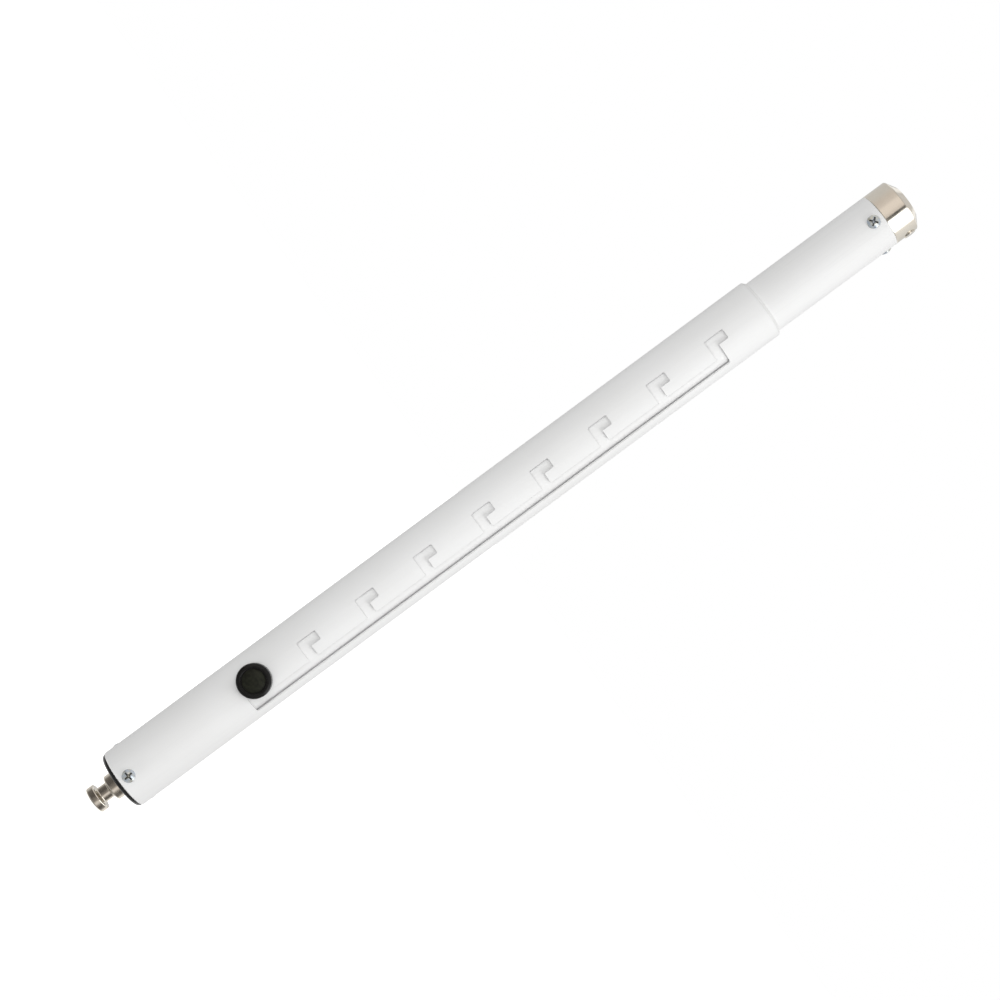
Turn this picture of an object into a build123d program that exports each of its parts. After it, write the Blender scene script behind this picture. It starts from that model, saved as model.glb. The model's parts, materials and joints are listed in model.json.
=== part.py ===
"""Two-stage telescopic pole with a stepped slot, a spool stud at its foot and a latching socket at its head.

Frame: millimetres, +Z along the pole from the stud to the socket, origin at the middle of the stud's head.
Angles are measured about +Z from -Y, where the knob is, towards +X.
The pole is shown collapsed, with its guide pin at the end of the lowest notch.
"""
from build123d import *
import math
import os

# Outer tube
OUTER_R = 22.5
OUTER_BORE_R = 21.0
OUTER_FOOT = 22.65
OUTER_FOOT_ROUND = 1.35
OUTER_MOUTH = 575.4
OUTER_MOUTH_ROUND = 0.15

# Inner tube
INNER_R = 20.0
INNER_BORE_R = 18.0
INNER_FOOT = 95.0
INNER_TOP = 679.7
INNER_TOP_ROUND = 0.3

# Slots: one long channel, and a row of notches at the front of the tube that open into it
STEP = 50.0
STEPS = 8
SLOT_W = 7.4
STEM_H = 7.6
STEM_FOOT = 127.9
POCKET_H = 15.8
CHANNEL_ANGLE = 42.0
CHANNEL_W = 8.6
SLOT_CORNER = 1.0

# Guide pin and knob, which stand along -Y
PIN_R = 3.5
PIN_Z = STEM_FOOT + POCKET_H - PIN_R - 0.2
PIN_ROOT = 4.0
KNOB_R = 12.45
KNOB_FOOT = 24.7
KNOB_TOP = 33.0
KNOB_RIM_ROUND = 2.0
DISH_R = 9.2
DISH_DEPTH = 2.2
CAP_R = 8.2
CAP_RIM_H = 0.9
CAP_H = 2.0
SADDLE_R = 10.4
INSERT_R = 6.0
INSERT_TOP = 30.0

# Coupling stud
HEAD_R = 9.9
HEAD_H = 6.2
HEAD_EDGE = 1.2
NECK_R = 5.9
NECK_TOP = 11.6
NECK_ROUND = 1.2
SHOULDER_R = 9.7
SHOULDER_EDGE = 1.5
STUD_SEAT = 19.75
SHANK_R = 6.0
SHANK_TOP = 53.0

# End plug
PLUG_R = 21.9
PLUG_TOP = 42.0
PLUG_ROUND = 2.5
STUD_WASHER_R = 12.0
STUD_WASHER_H = 1.6
STUD_NUT_FLATS = 18.0
STUD_NUT_H = 8.0

# Cross-recessed pan head screws, three at each end
SCREW_R = 2.5
SCREW_HEAD_R = 4.7
SCREW_HEAD_H = 3.0
SCREW_RIM_H = 1.1
SCREW_ROOT = 12.0
RECESS_L = 7.0
RECESS_W = 1.6
RECESS_DEPTH = 2.3
RECESS_CORE_R = 1.7
FOOT_SCREW_Z = 30.8
FOOT_SCREW_ANGLE = 2.8
FOOT_SCREW_TURN = 8.0
HEAD_SCREW_Z = 672.0
HEAD_SCREW_ANGLE = -2.9
HEAD_SCREW_TURN = 40.0

# Mouth bush
BUSH_FOOT = 549.0
BUSH_TOP = 577.4
BUSH_LIP_R = 22.4
BUSH_LIP_H = 0.1
BUSH_NOSE_R = 20.4

# Carrier plug in the foot of the inner tube, and the guide ring that turns on its boss
CARRIER_TOP = 160.0
CARRIER_FLANGE_H = 4.0
BOSS_R = 17.0
BOSS_H = 15.0
RING_GAP = 0.05
RING_WASHER_R = 19.0
RING_WASHER_H = 2.0
RING_SCREW_R = 3.0
RING_SCREW_HEAD_R = 5.2
RING_SCREW_HEAD_H = 3.5
RING_SCREW_TOP = 112.0
CROSS_PIN_R = 2.0
CROSS_PIN_Z = 122.0

# Socket
SOCKET_TOP = 701.55
SOCKET_EDGE_H = 4.5
SOCKET_FACE_R = 12.9
SOCKET_FOOT_BREAK = 0.4
SOCKET_FLAT = 19.35
FLAT_ANGLE = 28.0
BORE_R = 10.2
BORE_MOUTH = 1.0
SPIGOT_FOOT = 655.0
CAVITY_R = 16.0
CAVITY_TOP = 693.1
KEEPER_TOP = 687.9
KEEPER_BORE_R = 10.3
KEEPER_BORE_FOOT = 678.0

# Latch plate, release button and latch spring, which slide towards the axis
LATCH_ANGLE = 84.0
LATCH_TRAVEL = 2.2
LATCH_R = 13.5
LATCH_HOLE_R = 10.4
LATCH_H = 5.0
LATCH_Z = 690.5
BUTTON_R = 4.5
BUTTON_FOOT = 18.3
BUTTON_TOP = 20.7
BUTTON_STEM_R = 2.4
SPRING_R = 1.5
SPRING_WIRE_R = 0.28
SPRING_TURNS = 4.5
SPRING_SEAT_R = 2.0
SPRING_SEAT_DEPTH = 1.6

# Clearances on the radius: pieces that stay together, and pieces that move on each other
FIT = 0.02
RUN = 0.05
HOLE = 0.1

BOTTOM = (Align.CENTER, Align.CENTER, Align.MIN)


def rod(radius, low, high):
    """A cylinder on the pole's axis between two heights."""
    return Pos(0, 0, low) * Cylinder(radius, high - low, align=BOTTOM)


def pipe(outer, inner, low, high):
    """A hollow cylinder on the pole's axis."""
    return rod(outer, low, high) - rod(inner, low - 1, high + 1)


def turned(*points):
    """A solid turned about the pole's axis from (radius, height) points."""
    outline = Polyline([(r, 0, z) for r, z in points], close=True)
    return revolve(make_face(outline), Axis.Z)


def outwards(shape, start, height, angle=0.0):
    """Stands a shape built along +Z on a radius of the pole, from a distance off the axis outwards."""
    return Rot(0, 0, angle) * Pos(0, -start, height) * Rot(90, 0, 0) * shape


def radial_rod(radius, start, end, height, angle=0.0):
    """A cylinder along a radius of the pole."""
    return outwards(Cylinder(radius, end - start, align=BOTTOM), start, height, angle)


def round_edges(shape, heights, size):
    """Rounds the circular edges of a turned shape that lie at the given heights."""
    picked = [
        edge
        for edge in shape.edges().filter_by(GeomType.CIRCLE)
        if any(abs(edge.center().Z - z) < 1e-3 for z in heights)
    ]
    return fillet(picked, size)


def outer_rims(tube, radius):
    """The circular edges of a tube at its outside radius, lowest first."""
    rims = [edge for edge in tube.edges().filter_by(GeomType.CIRCLE) if abs(edge.radius - radius) < 1e-3]
    return sorted(rims, key=lambda edge: edge.center().Z)


def three_round(make, angle):
    """Three copies of a piece at 120 degrees about the axis."""
    return [make(angle + turn) for turn in (0, 120, 240)]


# Outer stage


def notch_cutter(step):
    """One L-shaped notch: a stem from the channel round to the front, then a pocket towards the socket."""
    foot = STEM_FOOT + step * STEP
    reach = 2 * OUTER_R
    far = (reach * math.sin(math.radians(CHANNEL_ANGLE)), -reach * math.cos(math.radians(CHANNEL_ANGLE)))
    sector = make_face(Polyline([(0, 0), (0, -reach), far], close=True))
    stem = Pos(0, 0, foot) * extrude(sector, STEM_H)
    pocket = Box(SLOT_W, OUTER_R, POCKET_H, align=(Align.CENTER, Align.MAX, Align.MIN))
    pocket = fillet(pocket.edges().filter_by(Axis.Y), SLOT_CORNER)
    return stem + Pos(0, -INNER_BORE_R, foot) * pocket


def channel_cutter():
    """The long straight slot that joins the stems of all the notches."""
    length = STEPS * STEP + STEM_H
    slot = Box(CHANNEL_W, OUTER_R, length, align=(Align.CENTER, Align.MAX, Align.MIN))
    slot = fillet(slot.edges().filter_by(Axis.Y), SLOT_CORNER)
    return Rot(0, 0, CHANNEL_ANGLE) * Pos(0, -INNER_BORE_R, STEM_FOOT) * slot


def outer_tube():
    tube = pipe(OUTER_R, OUTER_BORE_R, OUTER_FOOT, OUTER_MOUTH)
    tube = fillet(outer_rims(tube, OUTER_R)[0], OUTER_FOOT_ROUND)
    tube = fillet(outer_rims(tube, OUTER_R)[-1], OUTER_MOUTH_ROUND)
    tube -= channel_cutter()
    for step in range(STEPS + 1):
        tube -= notch_cutter(step)
    for angle in (0, 120, 240):
        tube -= radial_rod(SCREW_R + HOLE, INNER_R, OUTER_R + 5, FOOT_SCREW_Z, FOOT_SCREW_ANGLE + angle)
    return tube


def end_plug():
    lip = rod(PLUG_R, STUD_SEAT, OUTER_FOOT - FIT)
    lip = fillet(lip.edges().group_by(Axis.Z)[0], PLUG_ROUND)
    plug = lip + rod(OUTER_BORE_R - FIT, STUD_SEAT + 1, PLUG_TOP)
    plug -= rod(SHANK_R + RUN, 0, PLUG_TOP + 1)
    for angle in (0, 120, 240):
        plug -= radial_rod(SCREW_R + RUN, SCREW_ROOT - 0.5, OUTER_R, FOOT_SCREW_Z, FOOT_SCREW_ANGLE + angle)
    return plug


def coupling_stud():
    """Spool: a head, a narrow neck for the latch, a shoulder and a shank through the end plug."""
    half = HEAD_H / 2
    stud = turned(
        (0, -half),
        (HEAD_R, -half),
        (HEAD_R, half),
        (NECK_R, half),
        (NECK_R, NECK_TOP),
        (SHOULDER_R, NECK_TOP),
        (SHOULDER_R, STUD_SEAT - FIT),
        (SHANK_R, STUD_SEAT - FIT),
        (SHANK_R, SHANK_TOP),
        (0, SHANK_TOP),
    )
    outer = [e for e in stud.edges().filter_by(GeomType.CIRCLE) if e.radius > HEAD_R - 1]
    head_rims = [e for e in outer if abs(abs(e.center().Z) - half) < 1e-3]
    stud = fillet(head_rims, HEAD_EDGE)
    neck_ends = [e for e in stud.edges().filter_by(GeomType.CIRCLE) if abs(e.radius - NECK_R) < 1e-3]
    stud = fillet(neck_ends, NECK_ROUND)
    outer = [e for e in stud.edges().filter_by(GeomType.CIRCLE) if abs(e.radius - SHOULDER_R) < 1e-3]
    shoulder_rim = [e for e in outer if abs(e.center().Z - NECK_TOP) < 1e-3]
    return fillet(shoulder_rim, SHOULDER_EDGE)


def stud_washer():
    return pipe(STUD_WASHER_R, SHANK_R + RUN, PLUG_TOP + FIT, PLUG_TOP + STUD_WASHER_H)


def stud_nut():
    foot = PLUG_TOP + STUD_WASHER_H + FIT
    hexagon = RegularPolygon(STUD_NUT_FLATS / 2, 6, major_radius=False)
    nut = Pos(0, 0, foot) * extrude(hexagon, STUD_NUT_H)
    return nut - rod(SHANK_R + FIT, foot - 1, foot + STUD_NUT_H + 1)


def pan_screw(seat, height, angle, turn):
    """A pan head screw along a radius, with a turned cross recess. Its head rests on the tube at the seat."""
    side = SCREW_HEAD_R
    head_outline = [
        Line((0, 0, 0), (side, 0, 0)),
        Line((side, 0, 0), (side, 0, SCREW_RIM_H)),
        ThreePointArc(
            (side, 0, SCREW_RIM_H),
            (side * 0.62, 0, SCREW_RIM_H + (SCREW_HEAD_H - SCREW_RIM_H) * 0.66),
            (0, 0, SCREW_HEAD_H),
        ),
        Line((0, 0, SCREW_HEAD_H), (0, 0, 0)),
    ]
    head = revolve(make_face(Curve() + head_outline), Axis.Z)
    above = 0.3
    depth = RECESS_DEPTH + above
    arm = Rot(180, 0, 0) * extrude(Rectangle(RECESS_L, RECESS_W), depth, taper=12)
    core = Rot(180, 0, 0) * Cone(RECESS_CORE_R, RECESS_W / 3, depth, align=BOTTOM)
    for cutter in (Rot(0, 0, turn) * arm, Rot(0, 0, turn + 90) * arm, core):
        head -= Pos(0, 0, SCREW_HEAD_H + above) * cutter
    shank = Pos(0, 0, SCREW_ROOT - seat) * Cylinder(SCREW_R, seat - SCREW_ROOT + 0.5, align=BOTTOM)
    return outwards(head + shank, seat + FIT, height, angle)


def mouth_bush():
    """A thin sleeve pressed in the mouth of the outer tube, with a sloping lip that closes the gap."""
    lip_foot = OUTER_MOUTH + FIT
    sleeve = pipe(OUTER_BORE_R - FIT, INNER_R + RUN, BUSH_FOOT, lip_foot + 1)
    lip = turned(
        (INNER_R + RUN, lip_foot),
        (BUSH_LIP_R, lip_foot),
        (BUSH_LIP_R, lip_foot + BUSH_LIP_H),
        (BUSH_NOSE_R, BUSH_TOP),
        (INNER_R + RUN, BUSH_TOP),
    )
    return sleeve + lip


# Guide ring between the stages

BOSS_TOP = INNER_FOOT - CARRIER_FLANGE_H
BOSS_FOOT = BOSS_TOP - BOSS_H


def lower_guide_ring():
    ring = pipe(OUTER_BORE_R - RUN, BOSS_R + RUN, BOSS_FOOT + RING_GAP, BOSS_TOP - RING_GAP)
    return round_edges(ring, (BOSS_FOOT + RING_GAP, BOSS_TOP - RING_GAP), 0.5)


# Inner stage


def inner_tube():
    tube = pipe(INNER_R, INNER_BORE_R, INNER_FOOT, INNER_TOP)
    tube = fillet(outer_rims(tube, INNER_R)[-1], INNER_TOP_ROUND)
    tube -= radial_rod(PIN_R + RUN, INNER_BORE_R - 2, INNER_R + 2, PIN_Z)
    tube -= Pos(0, 0, CROSS_PIN_Z) * Rot(0, 90, 0) * Cylinder(CROSS_PIN_R + FIT, 3 * INNER_R)
    for angle in (0, 120, 240):
        tube -= radial_rod(SCREW_R + HOLE, INNER_BORE_R - 2, INNER_R + 2, HEAD_SCREW_Z, HEAD_SCREW_ANGLE + angle)
    return tube


def carrier_plug():
    """The plug that carries the guide pin, with a flange under the inner tube and a boss for the ring."""
    plug = rod(INNER_BORE_R - FIT, INNER_FOOT - 1, CARRIER_TOP)
    plug += rod(INNER_R - RUN, BOSS_TOP, INNER_FOOT - FIT)
    plug += rod(BOSS_R, BOSS_FOOT, BOSS_TOP + 1)
    plug -= radial_rod(PIN_R + RUN, PIN_ROOT - 0.5, INNER_R, PIN_Z)
    plug -= Pos(0, 0, CROSS_PIN_Z) * Rot(0, 90, 0) * Cylinder(CROSS_PIN_R + FIT, 3 * INNER_R)
    return plug - rod(RING_SCREW_R + RUN, BOSS_FOOT - 1, RING_SCREW_TOP + 1)


def carrier_cross_pin():
    """A plain pin across the inner tube that holds the carrier plug."""
    length = 2 * (INNER_R - 0.3)
    return Pos(0, 0, CROSS_PIN_Z) * Rot(0, 90, 0) * Cylinder(CROSS_PIN_R, length)


def ring_washer():
    top = BOSS_FOOT - FIT
    return pipe(RING_WASHER_R, RING_SCREW_R + RUN, top - RING_WASHER_H, top)


def ring_screw():
    seat = BOSS_FOOT - FIT - RING_WASHER_H - FIT
    head = rod(RING_SCREW_HEAD_R, seat - RING_SCREW_HEAD_H, seat)
    head = fillet(head.edges().group_by(Axis.Z)[0], 1.0)
    socket = extrude(RegularPolygon(2.5, 6, major_radius=False), 2.2)
    head -= Pos(0, 0, seat - RING_SCREW_HEAD_H) * socket
    return head + rod(RING_SCREW_R, seat - 0.5, RING_SCREW_TOP)


def guide_pin():
    """The pin's inner length, from the carrier plug to just inside the outer tube's bore, which its end follows."""
    bore = rod(OUTER_BORE_R - 2 * RUN, PIN_Z - 2 * PIN_R, PIN_Z + 2 * PIN_R)
    return radial_rod(PIN_R, PIN_ROOT, OUTER_BORE_R, PIN_Z) & bore


def knob_stud():
    """The pin's outer length, from just outside the outer tube into the knob."""
    return radial_rod(PIN_R, OUTER_R + 4 * RUN, INSERT_TOP - 1, PIN_Z)


def knob_washer():
    """A saddle washer whose underside follows the outer tube."""
    washer = radial_rod(SADDLE_R, OUTER_R - 8, KNOB_FOOT - RUN, PIN_Z)
    washer -= rod(OUTER_R + 2 * RUN, PIN_Z - 2 * KNOB_R, PIN_Z + 2 * KNOB_R)
    return washer - radial_rod(PIN_R + RUN, OUTER_R - 8, KNOB_FOOT + 1, PIN_Z)


# Knob


def knob():
    """A round knob with a raised rim around a sunk face."""
    height = KNOB_TOP - KNOB_FOOT
    body = Cylinder(KNOB_R, height, align=BOTTOM)
    body = chamfer(body.edges().group_by(Axis.Z)[0], 0.5)
    body = fillet(body.edges().group_by(Axis.Z)[-1], KNOB_RIM_ROUND)
    body -= Pos(0, 0, height - DISH_DEPTH) * Cylinder(DISH_R, height, align=BOTTOM)
    body = fillet(body.edges().group_by(Axis.Z)[-1], 0.5)
    body -= Pos(0, 0, -1) * Cylinder(INSERT_R + FIT, height + 2, align=BOTTOM)
    return outwards(body, KNOB_FOOT, PIN_Z)


def knob_insert():
    sleeve = Cylinder(INSERT_R, INSERT_TOP - KNOB_FOOT - RUN, align=BOTTOM)
    sleeve -= Cylinder(PIN_R + RUN, 60)
    return outwards(sleeve, KNOB_FOOT + RUN, PIN_Z)


def knob_cap():
    """The domed face in the middle of the knob, on a peg over the insert."""
    dome = [
        Line((0, 0, 0), (CAP_R, 0, 0)),
        Line((CAP_R, 0, 0), (CAP_R, 0, CAP_RIM_H)),
        ThreePointArc((CAP_R, 0, CAP_RIM_H), (CAP_R / 2, 0, CAP_RIM_H + (CAP_H - CAP_RIM_H) * 0.75), (0, 0, CAP_H)),
        Line((0, 0, CAP_H), (0, 0, 0)),
    ]
    face = revolve(make_face(Curve() + dome), Axis.Z)
    face = fillet(outer_rims(face, CAP_R)[-1], 0.4)
    floor = KNOB_TOP - DISH_DEPTH + FIT
    peg = Pos(0, 0, INSERT_TOP + 0.1) * Cylinder(INSERT_R - RUN, floor - INSERT_TOP, align=BOTTOM)
    return outwards(Pos(0, 0, floor) * face + peg, 0, PIN_Z)


# Socket at the head of the inner tube


def socket_body():
    """A turned head on a spigot, bored for the stud, hollowed from below for the latch, with two flats."""
    body = turned(
        (0, INNER_TOP + FIT),
        (INNER_R, INNER_TOP + FIT),
        (INNER_R, SOCKET_TOP - SOCKET_EDGE_H),
        (SOCKET_FACE_R, SOCKET_TOP),
        (0, SOCKET_TOP),
    )
    body = round_edges(body, (SOCKET_TOP - SOCKET_EDGE_H,), 1.2)
    body = chamfer(outer_rims(body, INNER_R)[0], SOCKET_FOOT_BREAK)
    for angle in (FLAT_ANGLE, FLAT_ANGLE + 180):
        cutter = Pos(0, -SOCKET_FLAT, INNER_TOP) * Box(60, 10, 60, align=(Align.CENTER, Align.MAX, Align.MIN))
        body -= Rot(0, 0, angle) * cutter
    body += rod(INNER_BORE_R - FIT, SPIGOT_FOOT, INNER_TOP + 1)
    body -= rod(BORE_R, SPIGOT_FOOT - 1, SOCKET_TOP + 1)
    body -= turned(
        (0, SOCKET_TOP - BORE_MOUTH),
        (BORE_R, SOCKET_TOP - BORE_MOUTH),
        (BORE_R + 2 * BORE_MOUTH, SOCKET_TOP + BORE_MOUTH),
        (0, SOCKET_TOP + BORE_MOUTH),
    )
    body -= rod(CAVITY_R, SPIGOT_FOOT - 1, CAVITY_TOP)
    body -= radial_rod(BUTTON_R + RUN, CAVITY_R + FIT, INNER_R + 5, LATCH_Z, LATCH_ANGLE)
    body -= radial_rod(BUTTON_STEM_R + HOLE, CAVITY_R - 3, INNER_R, LATCH_Z, LATCH_ANGLE)
    for angle in (0, 120, 240):
        body -= radial_rod(SCREW_R + RUN, CAVITY_R - 3, INNER_R, HEAD_SCREW_Z, HEAD_SCREW_ANGLE + angle)
    return body


def latch_keeper():
    """The plug that holds the latch from below, bored to take the stud's head."""
    keeper = rod(CAVITY_R - FIT, SPIGOT_FOOT, KEEPER_TOP)
    keeper -= rod(KEEPER_BORE_R, KEEPER_BORE_FOOT, KEEPER_TOP + 1)
    for angle in (0, 120, 240):
        keeper -= radial_rod(SCREW_R + RUN, SCREW_ROOT - 0.5, INNER_R, HEAD_SCREW_Z, HEAD_SCREW_ANGLE + angle)
    return keeper


def latch_plate():
    """A ring that stands off centre, so its far side reaches under the stud's head, with a stem outwards."""
    plate = Cylinder(LATCH_R, LATCH_H) - Cylinder(LATCH_HOLE_R, 2 * LATCH_H)
    plate = Rot(0, 0, LATCH_ANGLE) * Pos(0, -LATCH_TRAVEL, LATCH_Z) * plate
    rim = LATCH_R + LATCH_TRAVEL
    plate += radial_rod(BUTTON_STEM_R, rim - 1, BUTTON_FOOT + 1, LATCH_Z, LATCH_ANGLE)
    far_rim = LATCH_R - LATCH_TRAVEL
    seat = radial_rod(SPRING_SEAT_R, far_rim - SPRING_SEAT_DEPTH, far_rim + 2, LATCH_Z, LATCH_ANGLE + 180)
    return plate - seat


def release_button():
    cap = Cylinder(BUTTON_R, BUTTON_TOP - BUTTON_FOOT, align=BOTTOM)
    cap = fillet(cap.edges().group_by(Axis.Z)[-1], 0.5)
    cap -= Cylinder(BUTTON_STEM_R + FIT, 2 * (1 + FIT))
    return outwards(cap, BUTTON_FOOT, LATCH_Z, LATCH_ANGLE)


def latch_spring():
    """A compression spring between the latch plate's far side and the socket's wall."""
    start = LATCH_R - LATCH_TRAVEL - SPRING_SEAT_DEPTH + SPRING_WIRE_R + RUN
    end = CAVITY_R - SPRING_WIRE_R - RUN
    length = end - start
    line = Helix(length / SPRING_TURNS, length, SPRING_R)
    section = Plane(line @ 0, z_dir=line % 0) * Circle(SPRING_WIRE_R)
    coil = sweep(section, path=line, is_frenet=True)
    return outwards(coil, start, LATCH_Z, LATCH_ANGLE + 180)


def end_plug_screws():
    """Each screw stopped at another turn when it was tightened."""
    return Compound(
        three_round(lambda a: pan_screw(OUTER_R, FOOT_SCREW_Z, a, FOOT_SCREW_TURN + a / 4), FOOT_SCREW_ANGLE)
    )


def socket_screws():
    return Compound(
        three_round(lambda a: pan_screw(INNER_R, HEAD_SCREW_Z, a, HEAD_SCREW_TURN + a / 4), HEAD_SCREW_ANGLE)
    )


PIECES = (
    outer_tube,
    end_plug,
    coupling_stud,
    stud_washer,
    stud_nut,
    end_plug_screws,
    mouth_bush,
    lower_guide_ring,
    inner_tube,
    carrier_plug,
    carrier_cross_pin,
    ring_washer,
    ring_screw,
    guide_pin,
    knob_stud,
    knob_washer,
    knob,
    knob_insert,
    knob_cap,
    socket_body,
    latch_keeper,
    socket_screws,
    latch_plate,
    release_button,
    latch_spring,
)

os.makedirs("parts", exist_ok=True)
for piece in PIECES:
    export_step(piece(), f"parts/{piece.__name__}.step")
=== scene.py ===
"""Looks of the telescopic coupling pole: materials, light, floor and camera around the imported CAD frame."""
import json
import math

import bpy
from mathutils import Matrix, Vector


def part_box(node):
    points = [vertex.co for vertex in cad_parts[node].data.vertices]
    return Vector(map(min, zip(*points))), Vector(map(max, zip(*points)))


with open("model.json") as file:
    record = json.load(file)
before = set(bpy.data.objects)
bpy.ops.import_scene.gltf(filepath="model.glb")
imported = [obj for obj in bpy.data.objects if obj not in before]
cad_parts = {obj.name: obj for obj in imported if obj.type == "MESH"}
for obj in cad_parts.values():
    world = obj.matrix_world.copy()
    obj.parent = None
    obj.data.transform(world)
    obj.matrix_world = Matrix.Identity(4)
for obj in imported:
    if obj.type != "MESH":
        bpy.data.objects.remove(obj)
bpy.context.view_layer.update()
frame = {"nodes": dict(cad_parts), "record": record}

# Camera: it looks level at the middle of the pole, rolled so that the pole rises to the right
POLE_TILT = math.radians(36.45)
CAMERA_SIDE = math.radians(2.1)
CAMERA_DISTANCE = 1.829
CAMERA_LENS = 94.2
SENSOR = 36.0
AIM = Vector((-0.00064, 0.0, 0.3501))

# Floor
FLOOR_DROP = 0.0006
FLOOR_SIZE = 60.0
FLOOR_GLOW = 0.75

# Studio: a glow for matt surfaces that grows towards the socket's end, and round lamps. Angles are in
# degrees: the side is measured about +Z from -Y towards +X, and the height from the level.
FILL = 0.44
FILL_RISE = 0.4
SOFT_EDGE = 3.0
LAMP_CENTRE = Vector((0.0, 0.0, 0.46))
LAMPS = {
    "key": {"side": 57.0, "height": 20.0, "distance": 2.0, "size": 0.8, "power": 10.7},
    "front": {"side": -4.0, "height": -8.0, "distance": 1.1, "size": 0.6, "power": 4.4},
    "left": {"side": -97.0, "height": 10.0, "distance": 1.0, "size": 0.7, "power": 1.2},
    "right": {"side": 97.0, "height": 8.0, "distance": 1.0, "size": 0.7, "power": 2.4},
    "under": {"side": 10.0, "height": -88.0, "distance": 1.4, "size": 0.5, "power": 5.0},
    "back": {"side": 180.0, "height": 12.0, "distance": 2.0, "size": 0.8, "power": 6.0},
}

# What polished surfaces reflect: rings of panels round the pole, as (lowest, highest, stops), where a stop
# is (side, brightness, warmth) and the ring shades evenly from stop to stop. Elsewhere the room is DIM.
DIM = 0.25
WARM = Vector((1.0, 0.925, 0.87))
RAMP_SCALE = 4.0
RINGS = (
    (
        -70.0,
        -24.0,
        (
            (-180, 1.00, 0),
            (-118, 1.00, 0),
            (-98, 0.40, 0),
            (98, 0.40, 0),
            (118, 1.00, 0),
            (180, 1.00, 0),
        ),
    ),
    (
        -24.0,
        -2.0,
        (
            (-180, 1.10, 0.2),
            (-118, 0.60, 0.3),
            (-92, 0.18, 1),
            (-60, 0.12, 1),
            (-34, 0.11, 1),
            (-12, 0.20, 1),
            (8, 0.28, 1),
            (18, 0.60, 1),
            (26, 0.85, 0.6),
            (38, 0.75, 0.6),
            (52, 0.32, 1),
            (66, 0.14, 1),
            (84, 0.12, 1),
            (102, 0.26, 0.6),
            (124, 1.00, 0.2),
            (180, 1.10, 0.2),
        ),
    ),
    (
        -2.0,
        28.0,
        (
            (-180, 0.68, 0),
            (-92, 0.70, 0.2),
            (-61, 0.72, 1),
            (-40, 0.80, 1),
            (-28, 0.97, 1),
            (-8, 0.98, 1),
            (9, 0.82, 1),
            (12, 0.16, 0.5),
            (21, 0.12, 0.5),
            (24, 2.2, 0),
            (83, 2.2, 0),
            (87, 1.0, 0.2),
            (110, 0.92, 0),
            (150, 0.75, 0),
            (180, 0.68, 0),
        ),
    ),
    (
        28.0,
        46.0,
        (
            (-180, 1.10, 0),
            (-120, 1.10, 0),
            (-60, 0.50, 0.5),
            (60, 0.50, 0.5),
            (120, 1.10, 0),
            (180, 1.10, 0),
        ),
    ),
    (
        46.0,
        100.0,
        (
            (-180, 0.72, 0.3),
            (180, 0.72, 0.3),
        ),
    ),
)

# Materials, in metres: the tubes' bores, how far the bare metal shows past them, and how sharp an edge wears
OUTER_BORE = 0.0210
INNER_BORE = 0.0180
BARE_MARGIN = 0.0001
BARE_FADE = 0.0003
EDGE_FLAT = 0.98
EDGE_SHARP = 0.80
# How far the ambient occlusion looks when it paints shade into the screws' recesses
RECESS_REACH = 0.0016
COAT_BREAK = 0.0003
TURNED_BREAK = 0.00025
SMALL_BREAK = 0.0002


# Camera and stage


def place_camera():
    """Stands the camera on the knob's side, with the pole's +Z to the upper right of the picture."""
    away = Vector((math.sin(CAMERA_SIDE), -math.cos(CAMERA_SIDE), 0.0))
    side = Vector((math.cos(CAMERA_SIDE), math.sin(CAMERA_SIDE), 0.0))
    along = Vector((0.0, 0.0, 1.0))
    right = along * math.cos(POLE_TILT) + side * math.sin(POLE_TILT)
    up = along * math.sin(POLE_TILT) - side * math.cos(POLE_TILT)
    turn = Matrix((right, up, away)).transposed().to_4x4()
    data = bpy.data.cameras.new("camera")
    data.lens = CAMERA_LENS
    data.sensor_width = SENSOR
    data.clip_end = 200.0
    camera = bpy.data.objects.new("camera", data)
    camera.matrix_world = Matrix.Translation(AIM + away * CAMERA_DISTANCE) @ turn
    bpy.context.scene.collection.objects.link(camera)
    bpy.context.scene.camera = camera


def lay_floor():
    """A plain white floor just under the stud, which hides no light from the pole."""
    half = FLOOR_SIZE / 2
    level = min(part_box(name)[0].z for name in frame["nodes"]) - FLOOR_DROP
    corners = [(-half, -half, level), (half, -half, level), (half, half, level), (-half, half, level)]
    mesh = bpy.data.meshes.new("floor")
    mesh.from_pydata(corners, [], [(0, 1, 2, 3)])
    floor = bpy.data.objects.new("floor", mesh)
    bpy.context.scene.collection.objects.link(floor)
    floor.visible_glossy = False
    floor.visible_diffuse = False
    floor.visible_shadow = False
    mesh.materials.append(floor_white())


def toward(side, height):
    """The unit vector at an angle round the pole and a height, both in degrees."""
    side = math.radians(side)
    height = math.radians(height)
    return Vector((math.cos(height) * math.sin(side), -math.cos(height) * math.cos(side), math.sin(height)))


def hang_lamps():
    """Round soft lamps that face the pole. Polished surfaces reflect the panels and not the lamps."""
    for name, lamp in LAMPS.items():
        data = bpy.data.lights.new(name, "AREA")
        data.shape = "DISK"
        data.size = lamp["size"]
        data.energy = lamp["power"]
        light = bpy.data.objects.new(name, data)
        direction = toward(lamp["side"], lamp["height"])
        place = Matrix.Translation(LAMP_CENTRE + direction * lamp["distance"])
        light.matrix_world = place @ direction.to_track_quat("Z", "Y").to_matrix().to_4x4()
        light.visible_camera = False
        light.visible_glossy = False
        bpy.context.scene.collection.objects.link(light)


# Node helpers


def new_material(name):
    """An empty material with its output node."""
    material = bpy.data.materials.new(name)
    material.use_nodes = True
    tree = material.node_tree
    tree.nodes.clear()
    output = tree.nodes.new("ShaderNodeOutputMaterial")
    return material, tree, output


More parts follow.
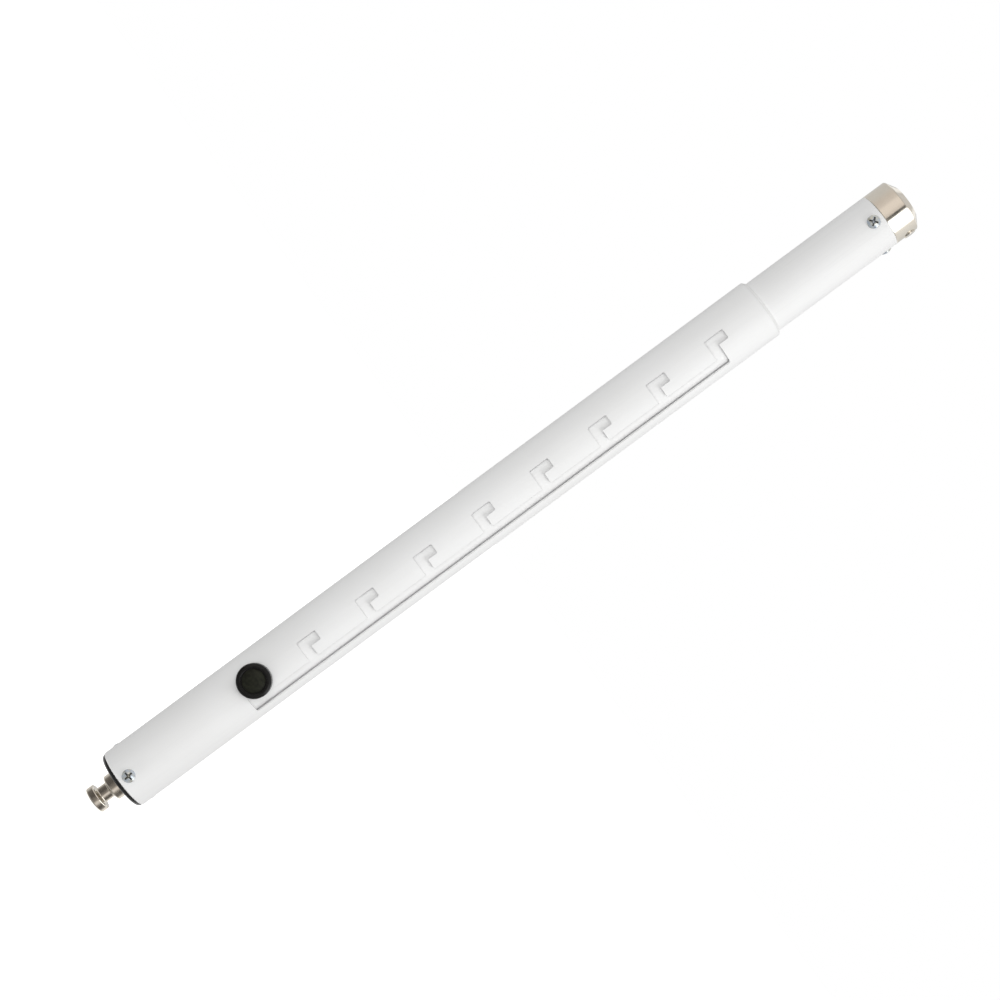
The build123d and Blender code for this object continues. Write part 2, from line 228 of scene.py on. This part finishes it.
def add(tree, kind, inputs=None, **settings):
    """A node with its settings and input values. A value that is a socket is linked."""
    node = tree.nodes.new("ShaderNode" + kind)
    for key, value in settings.items():
        setattr(node, key, value)
    for key, value in (inputs or {}).items():
        if isinstance(value, bpy.types.NodeSocket):
            tree.links.new(value, node.inputs[key])
        else:
            node.inputs[key].default_value = value
    return node


def math_node(tree, operation, *values):
    """The result of one sum on numbers or sockets."""
    return add(tree, "Math", dict(enumerate(values)), operation=operation).outputs[0]


def remap(tree, value, low, high, to_low, to_high, smooth=False):
    """Maps a value from one range to another, clamped."""
    kind = "SMOOTHSTEP" if smooth else "LINEAR"
    inputs = {"Value": value, "From Min": low, "From Max": high, "To Min": to_low, "To Max": to_high}
    return add(tree, "MapRange", inputs, interpolation_type=kind).outputs[0]


def blend(tree, factor, first, second):
    """Mixes two numbers."""
    return add(tree, "Mix", {0: factor, 2: first, 3: second}, data_type="FLOAT").outputs[0]


def tint(tree, factor, first, second):
    """Mixes two colours."""
    return add(tree, "Mix", {0: factor, 6: first, 7: second}, data_type="RGBA").outputs[2]


def rgb(red, green, blue):
    return (red, green, blue, 1.0)


def grey(level):
    return rgb(level, level, level)


def floor_white():
    """White paint that also glows, so that it meets the white background."""
    material, tree, output = new_material("floor_white")
    shader = add(tree, "BsdfPrincipled", {"Base Color": grey(0.9), "Roughness": 0.9})
    shader.inputs["Emission Color"].default_value = grey(1.0)
    shader.inputs["Emission Strength"].default_value = FLOOR_GLOW
    tree.links.new(shader.outputs[0], output.inputs[0])
    return material


# Studio


def band(tree, height, low, high):
    """1 between two heights of the room, 0 outside, with soft edges."""
    rise = remap(tree, height, low - SOFT_EDGE, low + SOFT_EDGE, 0.0, 1.0, smooth=True)
    fall = remap(tree, height, high - SOFT_EDGE, high + SOFT_EDGE, 1.0, 0.0, smooth=True)
    return math_node(tree, "MULTIPLY", rise, fall)


def ring(tree, side, stops):
    """The colours round the pole, shaded from stop to stop. The ramp holds them divided by RAMP_SCALE."""
    node = add(tree, "ValToRGB", {0: remap(tree, side, -180.0, 180.0, 0.0, 1.0)})
    ramp = node.color_ramp
    while len(ramp.elements) < len(stops):
        ramp.elements.new(1.0)
    for element, (angle, level, warmth) in zip(ramp.elements, stops):
        element.position = (angle + 180.0) / 360.0
        shade = Vector((1.0, 1.0, 1.0)).lerp(WARM, warmth) * level / RAMP_SCALE
        element.color = (*shade, 1.0)
    return add(tree, "VectorMath", {0: node.outputs[0], "Scale": RAMP_SCALE}, operation="SCALE").outputs[0]


def light_world():
    """White behind the pole, a glow for its matt surfaces, and panels for its polished ones."""
    world = bpy.data.worlds.new("studio")
    bpy.context.scene.world = world
    world.use_nodes = True
    world.cycles.sampling_method = "NONE"
    tree = world.node_tree
    tree.nodes.clear()
    output = tree.nodes.new("ShaderNodeOutputWorld")
    where = add(tree, "TexCoord")
    parts = add(tree, "SeparateXYZ", {0: where.outputs["Generated"]}).outputs
    degrees = 180.0 / math.pi
    side = math_node(tree, "ARCTAN2", parts[0], math_node(tree, "MULTIPLY", parts[1], -1.0))
    side = math_node(tree, "MULTIPLY", side, degrees)
    height = math_node(tree, "MULTIPLY", math_node(tree, "ARCSINE", parts[2]), degrees)
    room = grey(DIM)
    for low, high, stops in RINGS:
        room = tint(tree, band(tree, height, low, high), room, ring(tree, side, stops))
    glow = math_node(tree, "MULTIPLY_ADD", parts[2], FILL * FILL_RISE, FILL)
    rays = add(tree, "LightPath").outputs
    light = tint(tree, rays["Is Glossy Ray"], glow, room)
    light = tint(tree, rays["Is Camera Ray"], light, grey(1.0))
    background = add(tree, "Background", {"Color": light, "Strength": 1.0})
    tree.links.new(background.outputs[0], output.inputs[0])


# Parts of materials


def object_place(tree):
    """The place on the piece, which moves with it."""
    return add(tree, "TexCoord").outputs["Object"]


def noise(tree, where, size, detail=2.0, stretch=(1.0, 1.0, 1.0)):
    """Noise with grains of a size in metres, longer along an axis where stretch is over 1."""
    scale = [1.0 / (size * along) for along in stretch]
    place = add(tree, "VectorMath", {0: where, 1: scale}, operation="MULTIPLY").outputs[0]
    return add(tree, "TexNoise", {"Vector": place, "Scale": 1.0, "Detail": detail}).outputs[0]


def off_axis(tree, where):
    """Distance off the pole's axis, and height along it."""
    parts = add(tree, "SeparateXYZ", {0: where}).outputs
    flat = add(tree, "CombineXYZ", {0: parts[0], 1: parts[1]}).outputs[0]
    radius = add(tree, "VectorMath", {0: flat}, operation="LENGTH").outputs["Value"]
    return radius, parts[2]


def turned_place(tree, where):
    """A place made of the distance off the axis and the height, so that its patterns run in rings."""
    radius, height = off_axis(tree, where)
    return add(tree, "CombineXYZ", {0: radius, 2: height}).outputs[0]


def rounded(tree, radius):
    """The normal with sharp edges rounded off, for the thin highlight of a broken edge."""
    return add(tree, "Bevel", {"Radius": radius}, samples=6).outputs[0]


def edge_mask(tree, soft_normal):
    """1 along sharp edges, 0 on flat and gently curved faces."""
    true_normal = add(tree, "NewGeometry").outputs["Normal"]
    same = add(tree, "VectorMath", {0: soft_normal, 1: true_normal}, operation="DOT_PRODUCT").outputs["Value"]
    return remap(tree, same, EDGE_FLAT, EDGE_SHARP, 0.0, 1.0, smooth=True)


def relief(tree, height, depth, normal):
    """Bump from a height of 0 to 1, with its depth in metres."""
    inputs = {"Height": height, "Strength": 1.0, "Distance": depth, "Normal": normal}
    return add(tree, "Bump", inputs).outputs[0]


def finish(material, tree, output, **inputs):
    """Ends a material with one shader, whose inputs have plain names."""
    names = {
        "colour": "Base Color",
        "metal": "Metallic",
        "rough": "Roughness",
        "normal": "Normal",
        "shine": "Specular IOR Level",
        "bloom": "Sheen Weight",
        "bloom_rough": "Sheen Roughness",
    }
    shader = add(tree, "BsdfPrincipled", {names[key]: value for key, value in inputs.items()})
    tree.links.new(shader.outputs[0], output.inputs[0])
    return material


# Materials


def powder_coat(name, bore, rub):
    """Satin white powder coat: orange peel, grit, faint clouds, chipped edges and bare metal in the bore."""
    material, tree, output = new_material(name)
    where = object_place(tree)
    soft = rounded(tree, COAT_BREAK)
    edge = edge_mask(tree, soft)
    radius = off_axis(tree, where)[0]
    peel = noise(tree, where, 0.0022, 2.0)
    grit = noise(tree, where, 0.00035, 1.0)
    cloud = noise(tree, where, 0.06, 3.0)
    rubbed = noise(tree, where, 0.0012, 3.0, stretch=(1.0, 1.0, 60.0))
    chipped = remap(tree, noise(tree, where, 0.0015, 4.0), 0.50, 0.62, 0.0, 0.55)
    clouded = remap(tree, cloud, 0.35, 0.65, 0.0, 1.0)
    worn = math_node(tree, "MULTIPLY", remap(tree, rubbed, 0.52, 0.70, 0.0, 1.0), rub)
    coat = tint(tree, clouded, rgb(0.872, 0.872, 0.866), rgb(0.892, 0.893, 0.890))
    coat = tint(tree, worn, coat, grey(0.62))
    coat = tint(tree, math_node(tree, "MULTIPLY", edge, chipped), coat, rgb(0.50, 0.49, 0.47))
    inside = remap(tree, radius, bore + BARE_MARGIN, bore + BARE_MARGIN + BARE_FADE, 1.0, 0.0)
    drawn = noise(tree, where, 0.0006, 3.0, stretch=(1.0, 1.0, 90.0))
    lines = remap(tree, drawn, 0.3, 0.7, 0.0, 1.0)
    bare = tint(tree, lines, rgb(0.52, 0.52, 0.53), rgb(0.70, 0.70, 0.71))
    rough = remap(tree, peel, 0.3, 0.7, 0.38, 0.47)
    height = math_node(tree, "ADD", math_node(tree, "MULTIPLY", grit, 0.18), peel)
    return finish(
        material,
        tree,
        output,
        colour=tint(tree, inside, coat, bare),
        metal=math_node(tree, "MULTIPLY", inside, 0.6),
        rough=blend(tree, inside, rough, remap(tree, drawn, 0.3, 0.7, 0.30, 0.45)),
        normal=relief(tree, height, 0.000012, soft),
        shine=0.42,
    )


def bush_plastic():
    """Moulded white plastic with a fine eroded grain and faint flow marks."""
    material, tree, output = new_material("bush_white")
    where = object_place(tree)
    grain = noise(tree, where, 0.00025, 2.0)
    flow = noise(tree, where, 0.008, 3.0, stretch=(1.0, 1.0, 0.3))
    flowed = remap(tree, flow, 0.35, 0.65, 0.0, 1.0)
    return finish(
        material,
        tree,
        output,
        colour=tint(tree, flowed, rgb(0.860, 0.860, 0.850), rgb(0.885, 0.885, 0.878)),
        rough=remap(tree, grain, 0.3, 0.7, 0.40, 0.52),
        normal=relief(tree, grain, 0.000006, rounded(tree, COAT_BREAK)),
    )


def black_moulding(name, colour, rough, grain_size, grain_depth, shine, bloom=0.0):
    """Moulded black plastic: eroded grain, greyer scuffs on its edges, mottling, and a dusty bloom."""
    material, tree, output = new_material(name)
    where = object_place(tree)
    soft = rounded(tree, COAT_BREAK)
    grain = noise(tree, where, grain_size, 3.0)
    scuff = noise(tree, where, 0.003, 4.0, stretch=(1.0, 1.0, 2.5))
    worn = math_node(tree, "MULTIPLY", edge_mask(tree, soft), remap(tree, scuff, 0.45, 0.65, 0.15, 0.8))
    mottle = remap(tree, noise(tree, where, 0.0022, 3.0), 0.35, 0.65, 0.6, 1.4)
    base = add(tree, "VectorMath", {0: colour[:3], "Scale": mottle}, operation="SCALE").outputs[0]
    base = tint(tree, worn, base, grey(0.04))
    spread = remap(tree, scuff, 0.35, 0.65, rough - 0.05, rough + 0.07)
    return finish(
        material,
        tree,
        output,
        colour=base,
        rough=spread,
        normal=relief(tree, grain, grain_depth, soft),
        shine=shine,
        bloom=bloom,
        bloom_rough=0.25,
    )


def turned_metal(name, low, high, rough, pitch, depth):
    """Lathe-turned metal: fine rings about the pole's axis, and handling marks."""
    material, tree, output = new_material(name)
    where = object_place(tree)
    soft = rounded(tree, TURNED_BREAK)
    marks = noise(tree, turned_place(tree, where), pitch, 4.0)
    smear = noise(tree, where, 0.006, 4.0)
    shade = math_node(tree, "MULTIPLY_ADD", marks, 0.6, math_node(tree, "MULTIPLY", smear, 0.4))
    worn = math_node(tree, "ADD", remap(tree, smear, 0.35, 0.65, -0.03, 0.05), rough)
    return finish(
        material,
        tree,
        output,
        colour=tint(tree, remap(tree, shade, 0.35, 0.65, 0.0, 1.0), low, high),
        metal=1.0,
        rough=worn,
        normal=relief(tree, marks, depth, soft),
    )


def ground_steel():
    """Ground steel of pins and latch: short lengthwise scratches and a faint oily film."""
    material, tree, output = new_material("steel_ground")
    where = object_place(tree)
    lines = noise(tree, where, 0.00012, 4.0, stretch=(6.0, 1.0, 1.0))
    film = remap(tree, noise(tree, where, 0.004, 3.0), 0.35, 0.65, 0.0, 1.0)
    return finish(
        material,
        tree,
        output,
        colour=tint(tree, film, rgb(0.56, 0.55, 0.53), rgb(0.66, 0.66, 0.66)),
        metal=1.0,
        rough=remap(tree, lines, 0.3, 0.7, 0.18, 0.32),
        normal=relief(tree, lines, 0.000002, rounded(tree, SMALL_BREAK)),
    )


def zinc(name, blue):
    """Zinc plate: a film that shifts from blue to straw, a fine grain, and painted shade that darkens the
    screws' recesses.
    """
    material, tree, output = new_material(name)
    where = object_place(tree)
    soft = rounded(tree, SMALL_BREAK)
    film = noise(tree, where, 0.0028, 3.0)
    grain = noise(tree, where, 0.00018, 3.0)
    cool = tint(tree, blue, grey(0.62), rgb(0.52, 0.60, 0.70))
    warm = tint(tree, blue, rgb(0.66, 0.66, 0.64), rgb(0.70, 0.69, 0.60))
    colour = tint(tree, remap(tree, film, 0.40, 0.62, 0.0, 1.0), cool, warm)
    colour = tint(tree, math_node(tree, "MULTIPLY", edge_mask(tree, soft), 0.5), colour, grey(0.80))
    # Painted shade: the colour turns near black where ambient occlusion finds the recess closed in.
    open_sky = add(tree, "AmbientOcclusion", {"Distance": RECESS_REACH}, samples=8, only_local=True)
    painted_recess_shade = remap(tree, open_sky.outputs["AO"], 0.35, 0.75, 0.85, 0.0)
    colour = tint(tree, painted_recess_shade, colour, rgb(0.03, 0.032, 0.035))
    return finish(
        material,
        tree,
        output,
        colour=colour,
        metal=0.6,
        rough=remap(tree, grain, 0.3, 0.7, 0.16, 0.30),
        normal=relief(tree, grain, 0.000003, soft),
    )


def dress(material, *slots):
    """Gives every CAD node of some material slots its finished material."""
    for row in frame["record"]["subparts"]:
        if row["material_slot"] in slots:
            frame["nodes"][row["node"]].material_slots[0].material = material


bpy.context.scene.view_settings.view_transform = "Standard"
place_camera()
lay_floor()
hang_lamps()
light_world()

dress(powder_coat("coat_outer", OUTER_BORE, 0.03), "white_coat")
dress(powder_coat("coat_inner", INNER_BORE, 0.07), "white_coat_inner")
dress(bush_plastic(), "white_plastic")
dress(black_moulding("plug_black", grey(0.004), 0.26, 0.0003, 0.000003, 0.5, 1.0), "black_plastic")
dress(black_moulding("knob_black", grey(0.004), 0.30, 0.0004, 0.0000015, 0.3), "black_knob")
dress(turned_metal("ring_acetal", grey(0.02), grey(0.03), 0.40, 0.0002, 0.000003), "black_acetal")
nickel_low = rgb(0.71, 0.665, 0.585)
nickel_high = rgb(0.78, 0.735, 0.65)
nickel = turned_metal("nickel_turned", nickel_low, nickel_high, 0.13, 0.00016, 0.0000015)
dress(nickel, "nickel_plate")
dress(ground_steel(), "bright_steel")
dress(zinc("zinc_plain", 0.15), "zinc_steel")
dress(zinc("zinc_blue", 0.85), "zinc_screws")
brass = turned_metal("brass_turned", rgb(0.66, 0.46, 0.20), rgb(0.80, 0.60, 0.30), 0.22, 0.0002, 0.000004)
dress(brass, "brass_insert")
aluminium = turned_metal("aluminium_turned", grey(0.62), grey(0.76), 0.28, 0.00022, 0.000004)
dress(aluminium, "plain_aluminium")

cap_black = black_moulding("cap_black", rgb(0.0120, 0.0130, 0.0080), 0.45, 0.0006, 0.00001, 0.2)
frame["nodes"]["knob_cap"].material_slots[0].material = cap_black
